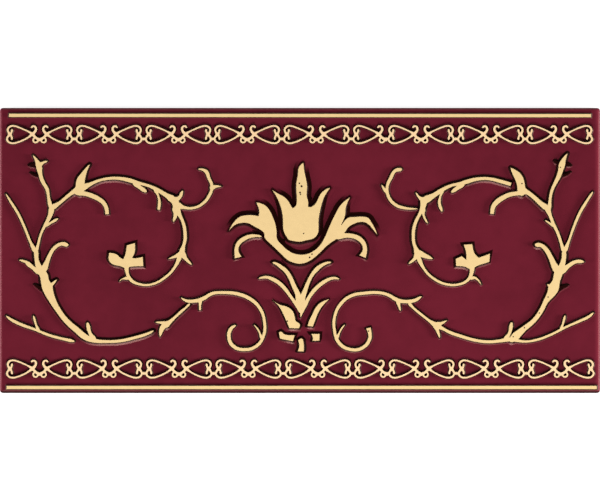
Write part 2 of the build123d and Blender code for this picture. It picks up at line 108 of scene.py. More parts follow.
# One scroll, left of its pair's middle: distance from the middle, height in the row, width
HOOKED_STRAND = ((9.2, 1.5, 0.85), (9.35, 0.75, 0.75), (9.85, 0.05, 1.2), (10.5, -0.7, 0.85),
                 (10.85, -1.55, 0.85), (10.3, -2.55, 0.8), (9.0, -2.95, 0.8), (7.35, -2.65, 0.75),
                 (5.35, -1.85, 0.75), (3.65, -0.9, 0.75), (2.4, 0.1, 1.2), (1.6, 0.85, 1.0),
                 (1.2, 1.75, 0.95), (1.5, 2.55, 0.85), (2.15, 2.75, 0.8), (2.65, 2.4, 0.8))
RINGED_STRAND = ((9.2, -1.5, 0.85), (9.35, -0.7, 0.75), (9.85, 0.05, 1.2), (10.4, 0.75, 0.85),
                 (10.6, 1.6, 0.85), (10.05, 2.5, 0.85), (8.95, 2.85, 0.75), (7.35, 2.5, 0.75),
                 (5.35, 1.7, 0.7), (3.65, 0.9, 0.75), (2.4, 0.1, 1.2), (1.7, -0.7, 1.0),
                 (0.95, -1.3, 1.0), (0.0, -1.85, 1.2))
RING_CENTRE = (1.33, -1.9)
RING_RADIUS = 1.18
EYE_RADIUS = 0.42
EYE_SPREAD = 0.28

# The link that ties a scroll to its neighbour on the left
LINK = ((-11.9, -1.5, 1.1), (-11.55, -1.5, 1.0), (-11.2, -1.5, 1.1))

# A knot of an edge may be a sharp corner, or a tip that is cut off at this width
SHARP = "sharp"
TIP = "tip"
TIP_WIDTH = 0.14

# How far every outline is drawn in, since the rims catch the light too
TRIM = 0.12 * MM

# Strokes wider than this, in millimetres, stand on the wider walls of the leaves
SLIM_WIDTH = 2.1

# How far from the middle line the chains' paler gilding fades in, and out again
PALE_FROM = (34.0 * MM, 35.0 * MM)
PALE_TO = (42.6 * MM, 43.4 * MM)

# Height up to which the sides are bare clay, give or take the waver of the glaze's lower edge
CLAY_HEIGHT = 2.0 * MM
CLAY_WAVER = 1.2 * MM

# The lamps: name, azimuth from the front and elevation in degrees, share of the key light's power
LAMPS = (
    ("front_light", 0.0, 55.0, 0.68),
    ("back_light", 180.0, 30.0, 0.12),
    ("left_light", 85.0, 25.0, 0.35),
    ("right_light", -85.0, 25.0, 0.7),
)
LAMP_SIZE = 0.3
LAMP_DISTANCE = 1.0
FLOOR_SIZE = 6.0

# The camera: sensor, place along the tile's width, depth of the sharp plane, crop of the two ends
SENSOR_WIDTH = 36.0
CAMERA_Y = 0.17 * MM
FRAMED_DEPTH = 3.0 * MM
FRAMED_CROP = 0.1 * MM


def edge(*knots):
    """A closed edge of (x, y) knots, in millimetres, smooth except where a knot is SHARP or a TIP."""
    placed = []
    for index, (x, y, *kind) in enumerate(knots):
        if TIP in kind:
            before, after = knots[index - 1], knots[index + 1]
            dx, dy = after[0] - before[0], after[1] - before[1]
            reach = TIP_WIDTH / 2 / math.hypot(dx, dy)
            placed += [(x - dx * reach, y - dy * reach, True), (x + dx * reach, y + dy * reach, True)]
        else:
            placed.append((x, y, SHARP in kind))
    return placed


def stem(*points):
    """A stroke of (x, y, width) points, in millimetres, whose two ends are round."""
    return points, False, False


def clipped(*points):
    """A stroke that is cut square at its last point."""
    return points, False, True


def block(*points):
    """A stroke that is cut square at both ends."""
    return points, True, True


TULIP_EDGE = edge(
    (1.1, 29.2, TIP), (1.4, 26.9), (1.8, 24.8), (2.2, 22.9), (2.4, 21.4), (2.25, 18.2), (2.75, 16.2),
    (2.7, 14.6, SHARP), (3.7, 14.5, SHARP), (5.0, 15.5), (6.0, 17.3), (6.8, 18.8), (8.5, 20.4),
    (10.0, 20.9, TIP), (9.1, 19.5), (8.0, 17.6), (7.2, 15.2), (6.6, 12.7), (6.2, 10.0), (6.2, 7.7),
    (6.0, 5.8), (4.7, 4.1), (2.2, 3.4), (0.0, 2.9), (-2.5, 3.2), (-3.8, 3.6), (-4.4, 4.4), (-5.4, 6.3),
    (-5.7, 8.5), (-5.7, 10.0), (-6.0, 12.7), (-6.7, 15.3), (-7.9, 18.0), (-9.2, 20.1, TIP),
    (-7.3, 19.0), (-5.3, 17.9), (-4.05, 16.7), (-3.1, 15.1), (-2.4, 14.1, SHARP), (-1.4, 15.0),
    (-1.1, 16.9), (-1.3, 20.7), (-1.2, 22.7), (-0.8, 24.8), (-0.3, 28.0))

# The cup with its two outer leaves
CUP_EDGE = edge(
    (-14.5, 16.0, TIP), (-12.9, 15.7), (-11.4, 14.9), (-10.0, 13.2), (-9.1, 11.3), (-8.3, 9.2),
    (-7.8, 6.6), (-7.6, 3.8), (-6.0, 1.9), (-4.0, 0.1), (-1.5, -1.1), (2.0, -1.2), (4.8, 0.1),
    (6.7, 1.9), (8.0, 4.0), (9.0, 6.2), (10.2, 9.0), (11.6, 11.9), (13.3, 14.9), (15.1, 16.7),
    (16.6, 17.7, TIP), (15.8, 15.9), (15.2, 14.0), (15.1, 12.2), (14.6, 10.4), (13.8, 8.6, TIP),
    (15.9, 10.9), (18.2, 11.2), (21.1, 11.3), (22.7, 10.9), (23.8, 9.4), (24.8, 7.7),
    (25.7, 5.3, TIP), (24.2, 7.1), (22.9, 8.6), (21.4, 9.4), (19.6, 9.4), (17.8, 8.8), (16.2, 7.8),
    (14.9, 6.0), (13.4, 4.6), (11.5, 3.4), (8.9, 1.5), (7.2, -0.2), (5.0, -2.2),
    (3.0, -3.6), (0.5, -4.4), (-1.7, -4.2), (-4.1, -3.2), (-6.3, -1.2), (-8.7, 1.1), (-10.4, 2.7),
    (-11.8, 4.3), (-12.0, 5.8), (-13.4, 7.0), (-15.3, 8.0), (-17.1, 9.0), (-19.4, 9.2), (-21.8, 8.4),
    (-23.6, 6.7, TIP), (-22.8, 8.4), (-21.6, 10.0), (-20.2, 11.2), (-18.6, 11.7), (-15.6, 11.8),
    (-13.8, 11.5, SHARP), (-13.6, 13.2))

LEFT_HOOK = clipped(
    (-12.9, 4.7, 0.5), (-14.5, 4.9, 1.0), (-16.4, 4.8, 1.3), (-18.5, 4.0, 1.5), (-20.3, 2.6, 1.5),
    (-21.1, 0.9, 1.4), (-21.1, -0.6, 1.6), (-20.8, -1.7, 2.1), (-20.6, -2.4, 2.5))

RIGHT_HOOK = clipped(
    (12.0, 4.6, 1.8), (15.0, 5.0, 1.7), (17.6, 4.8, 1.6), (19.6, 4.0, 1.7), (21.0, 2.6, 1.6),
    (21.6, 0.9, 1.5), (21.5, -0.4, 1.7), (21.1, -1.4, 2.1), (20.8, -2.1, 2.5))

# Leaves and blocks under the spray
LEFT_LEAF_EDGE = edge(
    (-9.1, -16.6, TIP), (-6.7, -18.0), (-4.4, -18.6), (-2.5, -20.0), (-1.7, -21.9), (-1.4, -23.4),
    (0.0, -24.5), (-0.3, -26.0, SHARP), (-3.6, -25.9, SHARP), (-4.5, -23.7), (-5.6, -21.3),
    (-7.1, -18.6))
RIGHT_LEAF_EDGE = edge(
    (9.8, -16.1, TIP), (7.8, -18.2), (6.3, -20.4), (5.1, -23.3), (4.3, -25.4, SHARP),
    (2.4, -25.2, SHARP), (3.0, -23.3), (4.1, -21.1), (5.2, -18.9), (7.1, -17.1))
BLOCK_EDGES = (
    edge((-7.1, -27.2, SHARP), (-6.3, -26.9), (-5.2, -27.8), (-1.7, -28.1, SHARP), (-2.3, -30.3, SHARP),
         (-6.7, -29.4, SHARP)),
    edge((3.6, -27.7, SHARP), (6.6, -27.7, SHARP), (6.5, -30.1, SHARP), (4.1, -30.1, SHARP), (4.2, -28.9)),
    edge((-0.7, -29.8, SHARP), (0.6, -29.2), (1.3, -31.0), (1.3, -33.7, SHARP), (-0.8, -33.6, SHARP),
         (-0.3, -31.6)),
)

SPRAY = (
    stem((-9.0, -4.0, 0.5), (-7.9, -4.4, 1.0), (-6.4, -5.4, 1.3), (-4.7, -6.8, 1.5), (-3.2, -9.1, 1.5),
         (-2.0, -11.9, 1.6), (-0.8, -14.4, 1.8), (-0.1, -17.5, 2.2)),
    stem((10.2, -3.9, 0.5), (9.1, -4.1, 0.9), (7.4, -4.8, 1.2), (5.6, -6.2, 1.5), (4.1, -8.0, 1.3),
         (2.8, -10.4, 1.3), (1.7, -13.3, 1.6), (0.8, -15.8, 2.0), (0.3, -18.5, 2.4)),
    stem((-13.6, -9.3, 0.5), (-12.6, -9.0, 0.9), (-11.0, -8.9, 1.1), (-9.0, -9.6, 1.4),
         (-7.0, -10.8, 1.4), (-5.3, -12.4, 1.4), (-3.7, -14.5, 1.2), (-2.0, -16.9, 1.2),
         (-0.6, -18.9, 1.4), (0.3, -20.8, 0.7)),
    stem((12.9, -9.5, 0.5), (12.0, -9.2, 0.9), (10.4, -9.3, 1.1), (8.4, -10.2, 1.3), (6.4, -11.6, 1.4),
         (4.6, -13.4, 1.4), (3.0, -15.6, 1.3), (1.6, -18.3, 1.5), (0.5, -20.8, 1.0), (0.2, -22.2, 0.3)),
)

LEFT_SPIRAL = (
    stem((-39.6, -15.7, 0.3), (-38.0, -16.7, 1.05), (-35.0, -16.8, 1.3), (-32.4, -16.1, 1.45),
         (-29.2, -14.3, 1.2), (-25.5, -14.0, 1.15), (-21.0, -14.4, 1.3), (-16.6, -16.1, 1.35),
         (-13.3, -19.3, 1.2), (-11.8, -23.9, 1.1), (-12.2, -28.6, 1.15), (-14.6, -31.9, 1.2),
         (-18.7, -33.0, 1.2), (-22.4, -31.7, 1.35), (-23.7, -28.6, 1.3), (-22.9, -25.9, 1.3),
         (-21.6, -25.0, 0.7)),
    clipped((-33.2, -16.8, 1.3), (-33.3, -18.4, 0.8), (-33.3, -19.9, 0.9)),
    stem((-15.3, -24.8, 0.3), (-14.2, -26.0, 0.7), (-13.4, -27.5, 0.7), (-12.8, -29.3, 0.9)),
    stem((-44.8, -24.8, 2.2), (-43.4, -23.8, 1.5), (-41.5, -22.1, 1.0), (-39.3, -20.1, 1.0),
         (-38.0, -19.0, 0.8), (-36.8, -17.8, 0.6)),
    stem((-44.8, -24.3, 1.4), (-46.5, -24.0, 0.9), (-48.0, -23.9, 0.4)),
    stem((-45.0, -24.7, 1.6), (-46.1, -26.3, 1.7), (-46.6, -28.6, 0.4)),
)

RIGHT_SPIRAL = (
    clipped((40.3, -15.4, 0.6), (38.2, -16.6, 1.3), (35.2, -17.0, 1.3), (32.4, -16.5, 1.45),
            (29.2, -14.7, 1.2), (26.0, -14.0, 1.15), (21.5, -14.2, 1.2), (17.2, -15.0, 1.2),
            (13.7, -17.6, 1.2), (11.6, -21.7, 1.1), (11.4, -26.2, 1.1), (13.0, -30.8, 1.3),
            (17.0, -33.0, 1.2), (21.0, -32.3, 1.25), (23.2, -29.4, 1.3), (23.2, -27.3, 1.35),
            (22.7, -25.7, 1.7)),
    stem((32.6, -16.8, 1.4), (33.0, -18.5, 1.0), (33.4, -20.0, 0.4)),
    stem((14.9, -24.7, 0.3), (13.9, -25.9, 0.7), (13.1, -27.4, 0.7), (12.3, -29.3, 0.9)),
    stem((36.2, -17.4, 0.9), (37.7, -19.1, 0.9), (40.0, -21.0, 1.0), (43.2, -23.5, 1.1),
         (45.3, -24.9, 2.0), (47.5, -26.0, 1.2), (50.0, -27.3, 1.2), (53.5, -28.5, 1.2),
         (58.0, -29.8, 1.15), (62.5, -30.4, 1.15), (66.5, -30.1, 1.2), (68.7, -29.7, 1.5),
         (70.5, -29.6, 1.4), (72.5, -30.0, 1.2), (75.0, -30.3, 0.9), (79.0, -29.7, 0.95),
         (84.0, -27.8, 0.95), (88.5, -25.5, 0.9), (93.5, -23.3, 1.0), (96.2, -22.0, 1.0),
         (97.6, -20.8, 0.5)),
    stem((45.4, -24.7, 1.8), (47.2, -24.2, 1.1), (48.8, -23.3, 0.4)),
    stem((44.9, -24.6, 1.6), (45.8, -26.7, 1.2), (46.5, -29.0, 0.4)),
)

LEFT_CURL = (
    stem((-40.8, 15.2, 2.0), (-38.5, 14.3, 1.2), (-35.3, 14.2, 1.0), (-32.4, 15.6, 1.1),
         (-30.1, 18.5, 1.15), (-29.3, 21.4, 1.2), (-30.4, 24.2, 1.2), (-31.1, 26.1, 1.4),
         (-32.6, 27.0, 0.9), (-33.8, 27.1, 0.4)),
    stem((-29.4, 20.9, 1.6), (-28.0, 21.3, 1.1), (-26.1, 21.4, 0.2)),
    stem((-43.5, 17.6, 2.0), (-41.9, 16.6, 2.4), (-41.1, 14.8, 2.6), (-40.6, 12.8, 1.9),
         (-39.6, 10.9, 1.2), (-38.7, 8.6, 1.2), (-38.3, 6.0, 1.2), (-38.3, 3.5, 1.2), (-38.8, 1.5, 1.2),
         (-39.4, -0.6, 1.8)),
    stem((-41.5, 17.0, 1.8), (-40.2, 17.6, 1.3), (-39.2, 19.6, 0.8)),
    stem((-41.6, 14.0, 2.0), (-41.4, 12.0, 1.5), (-42.1, 9.8, 0.6)),
    stem((-39.2, -1.0, 2.0), (-41.3, -1.9, 1.2), (-43.8, -2.8, 0.3)),
    stem((-39.3, -0.8, 2.0), (-38.0, -2.8, 1.3), (-36.2, -4.6, 0.5)),
)

RIGHT_CURL = (
    stem((33.5, 27.0, 1.2), (31.6, 26.5, 1.2), (30.3, 24.3, 1.3), (29.1, 21.6, 1.1), (29.3, 18.3, 1.2),
         (31.5, 15.4, 1.2), (35.0, 14.1, 1.05), (39.2, 13.9, 0.3)),
    stem((27.2, 21.8, 0.4), (27.8, 20.8, 0.9), (28.7, 19.6, 1.2)),
    stem((38.6, 19.2, 0.4), (39.5, 17.9, 0.9), (41.2, 16.7, 1.6)),
    stem((42.8, 17.6, 1.9), (41.3, 16.4, 2.5), (40.9, 14.5, 1.9), (40.0, 12.4, 1.2), (38.7, 9.9, 1.2),
         (37.9, 7.4, 1.2), (37.7, 4.8, 1.15), (37.9, 2.5, 1.15), (38.5, 0.8, 1.4), (39.1, -0.8, 2.0)),
    stem((41.2, 14.0, 1.2), (41.1, 11.8, 0.9), (42.4, 9.2, 0.5)),
    stem((39.2, -0.9, 2.0), (38.1, -2.8, 1.2), (36.3, -4.3, 0.5)),
    stem((39.2, -0.7, 2.0), (41.2, -1.6, 1.8), (44.0, -2.7, 0.6)),
)

LEFT_ARCH = (
    stem((-73.2, 20.6, 2.2), (-70.0, 22.0, 1.4), (-67.0, 23.3, 1.0), (-63.5, 24.0, 1.1),
         (-60.0, 24.0, 1.2), (-56.5, 23.3, 1.5), (-53.5, 22.4, 1.2), (-50.5, 21.6, 1.1),
         (-47.5, 20.2, 1.4), (-44.5, 18.4, 1.6), (-42.0, 16.8, 2.2)),
    stem((-55.2, 22.6, 1.6), (-53.4, 21.1, 1.4), (-51.5, 19.8, 1.2)),
    clipped((-48.4, 20.4, 1.0), (-47.2, 18.2, 0.8), (-46.8, 16.0, 1.1), (-47.1, 13.5, 1.1)),
    stem((-73.3, 19.6, 2.6), (-73.2, 22.0, 3.0), (-72.9, 23.6, 2.8), (-72.2, 25.1, 2.0),
         (-71.3, 26.8, 1.2), (-70.1, 28.6, 0.3)),
    clipped((-74.5, 19.3, 1.6), (-71.5, 18.9, 1.6), (-69.0, 18.1, 1.7), (-66.8, 17.0, 1.6),
            (-65.2, 15.6, 1.5), (-64.4, 13.8, 1.4), (-64.2, 12.0, 1.4)),
    stem((-82.7, 14.2, 1.6), (-80.0, 15.9, 1.2), (-77.5, 18.0, 1.2), (-75.3, 19.6, 1.6),
         (-73.6, 20.4, 2.4)),
)

RIGHT_ARCH = (
    clipped((41.3, 16.6, 2.2), (44.6, 18.4, 1.7), (47.5, 20.3, 1.4), (50.5, 21.7, 1.1), (53.0, 22.2, 1.2),
         (55.5, 22.9, 1.5), (59.0, 23.8, 1.25), (63.0, 23.9, 1.15), (66.5, 23.1, 1.3),
            (70.3, 22.0, 1.3)),
    stem((54.2, 22.1, 1.6), (52.5, 20.9, 1.5), (50.7, 19.6, 1.0)),
    stem((47.6, 20.2, 1.0), (46.7, 18.0, 0.8), (46.4, 15.8, 1.1), (47.2, 13.2, 0.7)),
    stem((73.8, 19.4, 2.6), (73.6, 21.5, 2.7), (73.2, 23.3, 2.8), (72.4, 24.9, 2.6), (71.3, 26.2, 1.8),
         (70.2, 27.5, 0.3)),
    clipped((75.0, 19.5, 1.6), (72.0, 19.0, 1.5), (69.8, 18.6, 1.6), (67.6, 17.6, 1.7),
            (65.7, 16.3, 1.8), (64.3, 14.5, 1.6), (63.9, 12.1, 1.4)),
    stem((82.3, 14.1, 1.8), (80.2, 15.6, 1.7), (77.7, 17.9, 1.5), (75.3, 19.6, 1.7), (73.6, 20.3, 2.4)),
)

LEFT_TREFOIL_EDGE = edge(
    (-63.6, -0.7, SHARP), (-62.3, -0.8), (-60.9, -1.3), (-59.8, -2.3), (-58.9, -2.8, SHARP), (-58.3, -1.5),
    (-57.7, 1.8, SHARP), (-54.9, 2.6, SHARP), (-55.0, -0.8), (-55.8, -2.4, SHARP), (-54.8, -2.5),
    (-52.3, -2.0, SHARP), (-52.1, -5.3, SHARP), (-54.0, -5.3), (-56.5, -5.5), (-58.4, -5.8), (-60.1, -5.2),
    (-62.3, -4.7), (-63.7, -3.3))

RIGHT_TREFOIL_EDGE = edge(
    (51.8, -2.7, SHARP), (53.9, -1.8, SHARP), (55.3, -3.0, SHARP), (55.2, -0.4), (54.4, 2.0, SHARP),
    (57.4, 2.2, SHARP), (57.9, -0.3), (58.8, -1.7), (59.5, -2.3, SHARP), (61.8, -1.5), (63.3, -0.9, SHARP),
    (63.1, -3.8, SHARP), (61.7, -4.3), (59.2, -5.1), (58.0, -5.8), (56.5, -6.2), (55.0, -5.5),
    (51.9, -5.2, SHARP))

LEFT_TREFOIL = (
    stem((-57.7, -4.4, 1.6), (-57.6, -7.2, 1.25), (-56.4, -9.7, 1.3), (-53.6, -11.2, 0.95),
         (-49.5, -11.3, 0.9), (-45.1, -9.1, 1.0), (-41.7, -5.6, 1.0), (-39.6, -1.0, 1.2)),
    stem((-60.1, -10.2, 0.3), (-59.2, -9.5, 0.5), (-57.3, -9.2, 1.2)),
)

RIGHT_TREFOIL = (
    stem((57.2, -4.4, 1.6), (57.1, -7.5, 1.4), (55.9, -9.8, 1.1), (53.2, -11.2, 0.95),
         (49.0, -11.3, 0.95), (44.4, -9.3, 1.0), (41.2, -6.0, 1.0), (39.1, -1.6, 1.2)),
    stem((56.8, -9.2, 1.2), (58.5, -9.2, 0.9), (60.3, -11.3, 0.3)),
)

LEFT_VINE = (
    stem((-97.9, 18.9, 0.3), (-96.5, 16.5, 0.9), (-93.8, 12.2, 1.0), (-91.5, 7.2, 1.0),
         (-89.7, 2.7, 1.0), (-88.0, -0.6, 1.2)),
    stem((-91.0, -4.1, 1.2), (-88.8, -5.8, 1.4), (-86.8, -7.4, 1.6)),
    stem((-93.3, -3.2, 0.5), (-91.3, -3.8, 1.0), (-89.6, -5.0, 1.2)),
    stem((-87.8, 0.0, 1.2), (-87.7, -3.0, 1.5), (-86.8, -5.8, 2.2), (-85.3, -8.3, 2.8),
         (-84.9, -10.2, 2.9), (-84.2, -12.0, 3.6), (-83.5, -14.2, 3.1), (-82.3, -16.8, 2.4),
         (-80.4, -20.0, 1.9), (-77.7, -23.5, 1.9), (-74.3, -26.5, 2.1), (-71.5, -28.8, 2.1),
         (-68.5, -30.0, 1.5), (-64.5, -30.3, 1.1), (-60.0, -30.1, 1.15), (-55.0, -29.0, 1.1),
         (-51.0, -27.8, 1.0), (-48.9, -26.8, 0.5)),
    stem((-87.9, -0.5, 0.9), (-87.2, 2.0, 1.0), (-86.3, 5.4, 0.9), (-84.7, 8.7, 1.2),
         (-83.2, 11.7, 1.6), (-82.6, 14.4, 1.7)),
    stem((-83.0, 14.2, 1.1), (-83.7, 17.6, 1.1), (-84.2, 20.4, 1.3), (-85.7, 23.0, 1.4),
         (-86.5, 25.6, 1.5), (-86.9, 28.0, 2.1), (-87.9, 30.3, 1.1), (-88.9, 31.7, 0.3)),
    stem((-87.0, 28.2, 1.6), (-85.4, 29.3, 0.9), (-84.3, 29.7, 0.6)),
    stem((-84.9, 8.2, 1.0), (-83.0, 9.2, 0.9), (-80.8, 10.5, 0.7)),
    stem((-77.7, 1.9, 1.4), (-79.5, 2.2, 1.3), (-81.4, 1.2, 1.3), (-83.0, -0.9, 1.35),
         (-84.2, -3.7, 1.6), (-85.3, -6.5, 2.0)),
    stem((-84.2, -12.8, 2.2), (-82.6, -11.3, 1.2), (-81.1, -9.8, 0.4)),
    stem((-97.8, -21.8, 0.4), (-96.5, -22.8, 1.0), (-93.0, -24.6, 1.15), (-88.5, -26.2, 1.0),
         (-83.5, -28.2, 1.05), (-79.0, -29.4, 1.0), (-75.4, -30.2, 0.8)),
    stem((-86.9, -26.9, 0.9), (-87.8, -24.9, 0.8), (-88.7, -21.9, 0.6)),
    stem((-68.5, -29.6, 1.6), (-69.9, -27.6, 1.2), (-70.7, -24.3, 1.0)),
)

RIGHT_VINE = (
    stem((97.4, 19.4, 0.5), (95.4, 16.3, 1.0), (93.3, 12.8, 1.1), (91.2, 8.0, 1.0), (89.6, 3.4, 0.9),
         (88.0, -0.6, 1.1)),
    stem((94.2, -3.7, 0.9), (91.9, -3.7, 1.3), (89.4, -5.1, 1.5), (86.9, -7.2, 1.9)),
    stem((87.9, -0.2, 1.2), (87.8, -2.8, 1.6), (87.0, -5.6, 2.2), (85.9, -8.0, 2.9),
         (85.3, -10.2, 2.6), (84.5, -12.3, 3.6), (83.5, -14.5, 2.8), (81.9, -16.8, 1.8),
         (80.2, -20.2, 1.6), (77.8, -23.4, 1.6), (74.5, -26.1, 1.9), (70.6, -29.6, 2.2)),
    stem((87.8, -0.5, 1.0), (87.0, 2.3, 1.1), (85.9, 5.6, 1.1), (84.4, 8.8, 1.2), (83.2, 11.8, 1.3),
         (82.2, 14.4, 1.8)),
    stem((83.0, 13.4, 0.9), (83.3, 17.4, 1.0), (83.9, 20.1, 1.1), (85.0, 22.5, 1.3), (86.2, 24.9, 1.6),
         (86.8, 26.9, 1.8), (87.2, 28.5, 2.2), (87.9, 30.4, 1.4), (88.5, 31.5, 0.8), (89.0, 32.3, 0.2)),
    stem((84.8, 8.0, 1.0), (83.2, 9.0, 0.8), (81.7, 10.0, 0.4)),
    stem((78.8, 1.9, 1.4), (80.3, 1.7, 1.4), (82.0, 0.2, 1.6), (83.3, -2.0, 1.7), (84.3, -4.2, 2.0),
         (85.6, -6.8, 2.2)),
    stem((84.2, -12.8, 2.0), (83.3, -12.0, 1.4), (82.4, -11.3, 0.5)),
    stem((86.8, -26.5, 0.9), (87.5, -24.5, 0.8), (88.2, -21.8, 0.6)),
    stem((68.4, -29.4, 1.4), (69.7, -27.6, 1.1), (70.4, -24.3, 1.0)),
)

# Leaves and thorns that the gilding leaves out
BARE_LEAVES = (
    stem((-90.2, 28.4, 0.5), (-88.8, 28.4, 1.3), (-87.2, 28.6, 1.8)),
    stem((-89.7, 25.8, 0.3), (-88.3, 25.2, 0.8), (-86.4, 24.9, 1.0)),
    stem((-88.4, -11.4, 0.4), (-87.0, -12.2, 1.1), (-84.8, -13.2, 1.8)),
    stem((90.1, 28.3, 0.5), (88.8, 28.6, 1.3), (87.2, 28.8, 1.8)),
    stem((90.0, 26.1, 0.3), (88.3, 25.2, 0.8), (86.2, 24.9, 1.0)),
    stem((84.9, 29.7, 0.8), (85.6, 29.3, 1.0), (86.9, 28.8, 1.4)),
    stem((89.2, -11.6, 0.4), (87.7, -12.1, 1.0), (85.2, -13.0, 1.8)),
)

STROKES = (LEFT_HOOK, RIGHT_HOOK, *SPRAY, *LEFT_SPIRAL, *RIGHT_SPIRAL, *LEFT_CURL, *RIGHT_CURL,
           *LEFT_ARCH, *RIGHT_ARCH, *LEFT_TREFOIL, *RIGHT_TREFOIL, *LEFT_VINE, *RIGHT_VINE)

LEAF_EDGES = (LEFT_LEAF_EDGE, RIGHT_LEAF_EDGE, *BLOCK_EDGES, LEFT_TREFOIL_EDGE, RIGHT_TREFOIL_EDGE)

# Small pits where the gilding has flaked: (x, y, radius) in millimetres
PITS = ((-0.2, 22.4, 0.22), (0.5, 21.4, 0.3), (0.0, 19.3, 0.28), (0.2, 18.7, 0.2), (1.2, 5.7, 0.2),
        (3.2, -2.3, 0.25), (4.0, -1.2, 0.22), (-4.2, -23.5, 0.22), (22.8, -26.8, 0.2),
        (82.6, -15.5, 0.2), (79.7, -20.8, 0.2), (74.7, -25.7, 0.22), (71.0, -28.7, 0.2),
        (73.9, 22.3, 0.2), (86.7, 27.7, 0.2))

# Tips of the tulip, its cup and the leaves, where the pooled glaze and the painted shade hardly reach: (x,
# y) in millimetres
TIPS = ((1.3, 30.0), (-9.6, 21.0), (10.4, 21.6), (-15.0, 17.0), (17.2, 18.8), (-25.0, 5.8), (26.4, 4.2),
        (-10.0, -16.2), (10.8, -15.8))


class BodySettings(bpy.types.PropertyGroup):
    """Sizes of the pressed body."""

    thickness: FloatProperty(
        name="Thickness", description="Body under the relief", default=7.5 * MM, unit="LENGTH")
    edge_radius: FloatProperty(
        name="Edge radius", description="Rounding of the face's edges", default=1.0 * MM,
        unit="LENGTH")
    back_chamfer: FloatProperty(
        name="Back chamfer", description="Bevel of the back's edges", default=0.8 * MM, unit="LENGTH")
    corner_radius: FloatProperty(
        name="Corner radius", description="Rounding of the four corners", default=1.1 * MM, unit="LENGTH")


class ReliefSettings(bpy.types.PropertyGroup):
    """Slopes of the raised ornament."""

    broad_spread: FloatProperty(
        name="Broad wall spread", description="How far the walls of the tulip and its cup run out",
        default=1.8 * MM, unit="LENGTH")
    spread: FloatProperty(
        name="Wall spread", description="How far the walls of the vines run out", default=0.65 * MM,
        unit="LENGTH")
    leaf_spread: FloatProperty(
        name="Leaf wall spread", description="How far the walls of broad leaves and blocks run out",
        default=1.0 * MM, unit="LENGTH")
    fine_spread: FloatProperty(
        name="Fine wall spread", description="How far the walls of the chains run out",
        default=0.45 * MM, unit="LENGTH")


class FinishSettings(bpy.types.PropertyGroup):
    """Colours of the glaze, the gilding and the clay, with the painted shade of the walls and the painted
    highlight of the short ends.
    """

    glaze: FloatVectorProperty(
        name="Glaze", description="Colour of the glaze", default=(0.122, 0.0104, 0.0212),
        subtype="COLOR", min=0.0, max=1.0)
    # Painted shade: the dark colour of the relief's walls and the face's front edge, standing in for their
    # shadow and dark reflections, along with the glaze that pools there
    pool_and_shade: FloatVectorProperty(
        name="Pooled glaze", description="Glaze where it is thick, at the relief's walls",
        default=(0.013, 0.0018, 0.0014), subtype="COLOR", min=0.0, max=1.0)
    # Painted highlight: the pale colour of the rounded short ends, standing in for the lamps' reflections
    # there
    end_highlight: FloatVectorProperty(
        name="Thin glaze", description="Glaze that has run thin at the two short ends",
        default=(0.42, 0.05, 0.085), subtype="COLOR", min=0.0, max=1.0)
    gold: FloatVectorProperty(
        name="Gilding", description="Colour of the gilded tops", default=(0.87, 0.63, 0.3),
        subtype="COLOR", min=0.0, max=1.0)
    pale_gold: FloatVectorProperty(
        name="Pale gilding", description="Colour of the gilding on the chains",
        default=(0.95, 0.67, 0.38), subtype="COLOR", min=0.0, max=1.0)
    clay: FloatVectorProperty(
        name="Clay", description="Bare clay of the back", default=(0.56, 0.4, 0.29),
        subtype="COLOR", min=0.0, max=1.0)


class StageSettings(bpy.types.PropertyGroup):
    """The camera and the lights."""

    distance: FloatProperty(
        name="Camera distance", description="Height of the camera over the tile", default=4.0,
        unit="LENGTH")
    key_power: FloatProperty(
        name="Key light", description="Power of the large light", default=11.0, min=0.0)


def only(piece):
    """Makes a piece the one selected object."""
    bpy.ops.object.select_all(action="DESELECT")
    piece.select_set(True)
    bpy.context.view_layer.objects.active = piece


def apply_modifier(piece, modifier):
    """Applies a modifier, and stops if Blender won't."""
    only(piece)
    if "FINISHED" not in bpy.ops.object.modifier_apply(modifier=modifier.name):
        raise RuntimeError(f"{modifier.name} wasn't applied to {piece.name}")


def direction(points, index):
    """Unit direction of a stroke at one of its points."""
    before = points[max(index - 1, 0)]
    after = points[min(index + 1, len(points) - 1)]
    dx, dy = after[0] - before[0], after[1] - before[1]
    length = math.hypot(dx, dy)
    return dx / length, dy / length


def beside(points, index, side):
    """The point on one side of a stroke, half its width away."""
    x, y, width = points[index]
    dx, dy = direction(points, index)
    reach = side * width / 2
    return x - dy * reach, y + dx * reach


def beyond(points, index, sign):
    """The furthest point of a round end."""
    x, y, width = points[index]
    dx, dy = direction(points, index)
    return x + dx * sign * width / 2, y + dy * sign * width / 2


def stroke_outline(stroke):
    """A stroke's closed edge as (x, y, corner) knots."""
    points, cut_start, cut_end = stroke
    last = len(points) - 1
    knots = [(*beside(points, i, 1), cut_end and i == last or cut_start and i == 0)
             for i in range(last + 1)]
    if not cut_end:
        knots.append((*beyond(points, last, 1), False))
    knots += [(*beside(points, i, -1), cut_end and i == last or cut_start and i == 0)
              for i in range(last, -1, -1)]
    if not cut_start:
        knots.append((*beyond(points, 0, -1), False))
    return knots


def circle_outline(centre, radius):
    """A circle as knots."""
    turns = [math.tau * i / 8 for i in range(8)]
    return [(centre[0] + radius * math.cos(t), centre[1] + radius * math.sin(t), False) for t in turns]


def shape_spline(spline, knots):
    """Gives a closed spline its knots, smooth except at corners."""
    spline.bezier_points.add(len(knots) - len(spline.bezier_points))
    spline.use_cyclic_u = True
    for point, (x, y, corner) in zip(spline.bezier_points, knots):
        point.co = (x * MM, y * MM, 0.0)
        point.handle_left_type = point.handle_right_type = "VECTOR" if corner else "AUTO"


